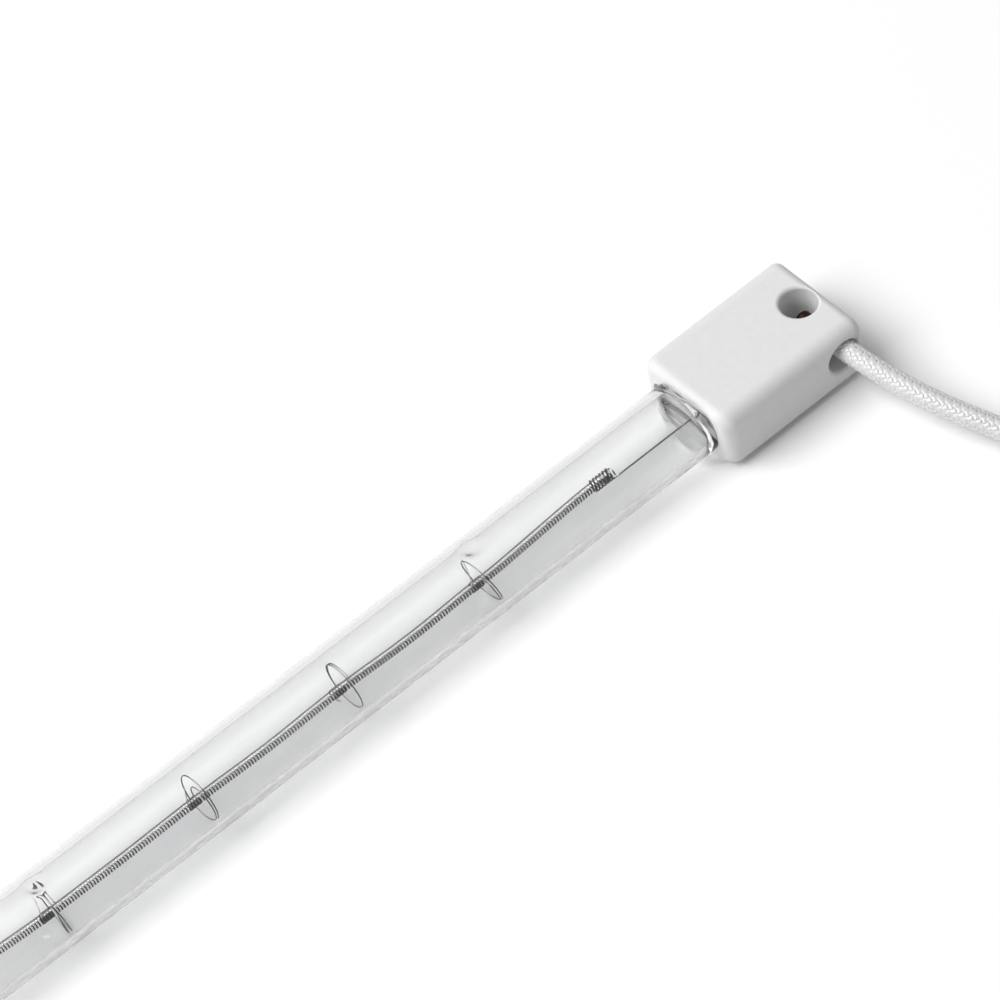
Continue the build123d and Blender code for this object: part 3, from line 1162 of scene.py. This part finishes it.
cavity_rings = []
for step, spread in rim_profile(cavity_flare, cavity_depth, cavity_rim_steps):
    outline = even_loop(
        cavity_half_width + spread, cavity_half_height + spread, cavity_corner + spread, cavity_corner_points
    )
    cavity_rings.append(ring_at(mouth_x + step, outline, cap_middle_y, cavity_z))
cap_body = solid("cap_body", loft(cap_rings))
top_rim = (hole_x, cap_middle_y, cap_top)
side_rim = (hole_x, cap_low[1], axis_z)
pin_rim = (pin_hole_start, axis_y, pin_z)
pin_hole_depth = hole_x - pin_hole_start
cutters = [
    solid("cavity", loft(cavity_rings)),
    hole_cutter("top_hole", top_rim, (0, 0, -1), (1, 0, 0), hole_radius, top_hole_depth, hole_rim_round),
    hole_cutter("side_hole", side_rim, (0, 1, 0), (1, 0, 0), hole_radius, cap_half_width, hole_rim_round),
    hole_cutter("pin_hole", pin_rim, (1, 0, 0), (0, 1, 0), pin_hole_radius, pin_hole_depth, pin_hole_flare),
]
for cutter in cutters:
    cut = cap_body.modifiers.new(cutter.name, "BOOLEAN")
    cut.operation = "DIFFERENCE"
    cut.solver = "EXACT"
    cut.object = cutter
bpy.context.view_layer.update()
cap_mesh = bpy.data.meshes.new_from_object(cap_body.evaluated_get(bpy.context.evaluated_depsgraph_get()))
for helper in [cap_body, *cutters]:
    helper_mesh = helper.data
    bpy.data.objects.remove(helper)
    bpy.data.meshes.remove(helper_mesh)
far_cap_mesh = cap_mesh.copy()
far_cap_mesh.transform(Matrix.Scale(-1, 4, (1, 0, 0)))
far_cap_mesh.flip_normals()
for end, mesh in (("a", cap_mesh), ("b", far_cap_mesh)):
    cap = show(f"rounded_cap_{end}", mesh, ceramic_look, f"ceramic_cap_{end}", sharp=40)
    evened = cap.modifiers.new("evened_shading", "WEIGHTED_NORMAL")
    evened.keep_sharp = True

# Crimp in the crossing of the holes, pressed shut on the lead by two bites
crimp_low, crimp_high = span("lead_crimp")
crimp_x = (crimp_low[0] + crimp_high[0]) / 2
crimp_z = (crimp_low[2] + crimp_high[2]) / 2
crimp_radius = (crimp_high[0] - crimp_low[0]) / 2
crimp_extra = 0.45
crimp_start = crimp_high[1] + crimp_extra
crimp_steps = 29
crimp_facets = 40
crimp_angles = np.arange(crimp_facets) * TURN / crimp_facets
bite_places = (0.32, 0.70)
bite_depth = 0.26
bite_spread = 0.09
bite_squaring = 2.0
lip_depth = 0.12
lip_spread = 0.03


def swell(share, middle, spread):
    """Smooth rise to 1 about a middle."""
    return math.exp(-(((share - middle) / spread) ** 2))


crimp_rings = []
for share in np.linspace(0, 1, crimp_steps):
    pressed = bite_depth * sum(swell(share, bite, bite_spread) for bite in bite_places)
    lip = lip_depth * (swell(share, 0, lip_spread) + swell(share, 1, lip_spread))
    outline = oval(
        crimp_radius * (1 - lip),
        crimp_radius * (1 - lip - pressed),
        round_power + bite_squaring * pressed,
        crimp_angles,
    )
    y = crimp_start - share * (crimp_start - crimp_low[1])
    ring = np.column_stack([crimp_x + outline[:, 0], np.full(crimp_facets, y), crimp_z + outline[:, 1]])
    crimp_rings.append(ring)
make("pressed_crimp", [loft(crimp_rings)], copper_look, "lead_crimp", sharp=50)

# Cement collar round each pinch, nearly flush with the cap's mouth
cement_recess = 0.15
cement_start = mouth_x + cement_recess
cement_gap = 0.05
wetting = 0.03
collar_inner_corner = 0.4
collar_outside = even_loop(
    cavity_half_width - cement_gap,
    cavity_half_height - cement_gap,
    cavity_corner - cement_gap,
    cavity_corner_points,
)
collar_inside = even_loop(
    pinch_half_width - wetting, pinch_half_thickness - wetting, collar_inner_corner, cavity_corner_points
)
collar_rings = [
    ring_at(cement_start, collar_outside, axis_y, cavity_z),
    ring_at(pinch_end, collar_outside, axis_y, cavity_z),
    ring_at(pinch_end, collar_inside, axis_y, axis_z),
    ring_at(cement_start, collar_inside, axis_y, axis_z),
]
collar_skin = loft(collar_rings, closed=True)
make_pair("cement_collar", collar_skin, cement_look, "cap_cement", sharp=40)

# Foils and pins keep the shape of the solid model
for node in ("seal_foil_a", "seal_foil_b", "outer_pin_a", "outer_pin_b"):
    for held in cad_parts[node].material_slots:
        held.material = molybdenum_look


# Floor, world and lamp
def seen_rays(brush, glossy, transmitted):
    """How white a ray sees the surroundings: 1 from the camera, and as given off metal and through glass."""
    share = brush.node("ShaderNodeLightPath", {}, {}, "Is Camera Ray")
    for kind, weight in (("Is Glossy Ray", glossy), ("Is Transmission Ray", transmitted)):
        share = share + weight * brush.node("ShaderNodeLightPath", {}, {}, kind)
    return share


floor_size = 4.0
floor_corners = [(x * floor_size, y * floor_size, 0.0) for x, y in ((-1, -1), (1, -1), (1, 1), (-1, 1))]
floor_mesh = bpy.data.meshes.new("floor")
floor_mesh.from_pydata(floor_corners, [], [(0, 1, 2, 3)])
floor = bpy.data.objects.new("floor", floor_mesh)
scene.collection.objects.link(floor)
floor_look, floor_brush, floor_surface = paint("white_floor")
floor_seen = seen_rays(floor_brush, glossy=1.0, transmitted=1.0)
feed(
    floor_brush,
    floor_surface,
    {
        "Base Color": blend(floor_brush, floor_seen, grey(0.78), grey(1.0)),
        "Roughness": 1.0,
        "Specular IOR Level": 0.0,
        "Emission Color": blend(floor_brush, floor_seen, grey(0.0), grey(0.02)),
        "Emission Strength": 1.0,
    },
)
floor_mesh.materials.append(floor_look)

world = bpy.data.worlds.new("studio")
world.use_nodes = True
scene.world = world
world_brush = Tint(world.node_tree)
sky_seen = seen_rays(world_brush, glossy=0.3, transmitted=0.12)
sky_tone = blend(world_brush, sky_seen, grey(0.27), grey(1.0))
feed(world_brush, world.node_tree.nodes["Background"], {"Color": sky_tone})

lamp_place = Vector((-0.97, 0.48, 1.49))
lamp_aim = Vector((0.05, 0.0, 0.0))
lamp_light = bpy.data.lights.new("window_lamp", "AREA")
lamp_light.shape = "RECTANGLE"
lamp_light.size = 1.6
lamp_light.size_y = 1.2
lamp_light.energy = 38.0
lamp = bpy.data.objects.new("window_lamp", lamp_light)
lamp.location = lamp_place
lamp.rotation_euler = (lamp_aim - lamp_place).to_track_quat("-Z", "Y").to_euler()
scene.collection.objects.link(lamp)
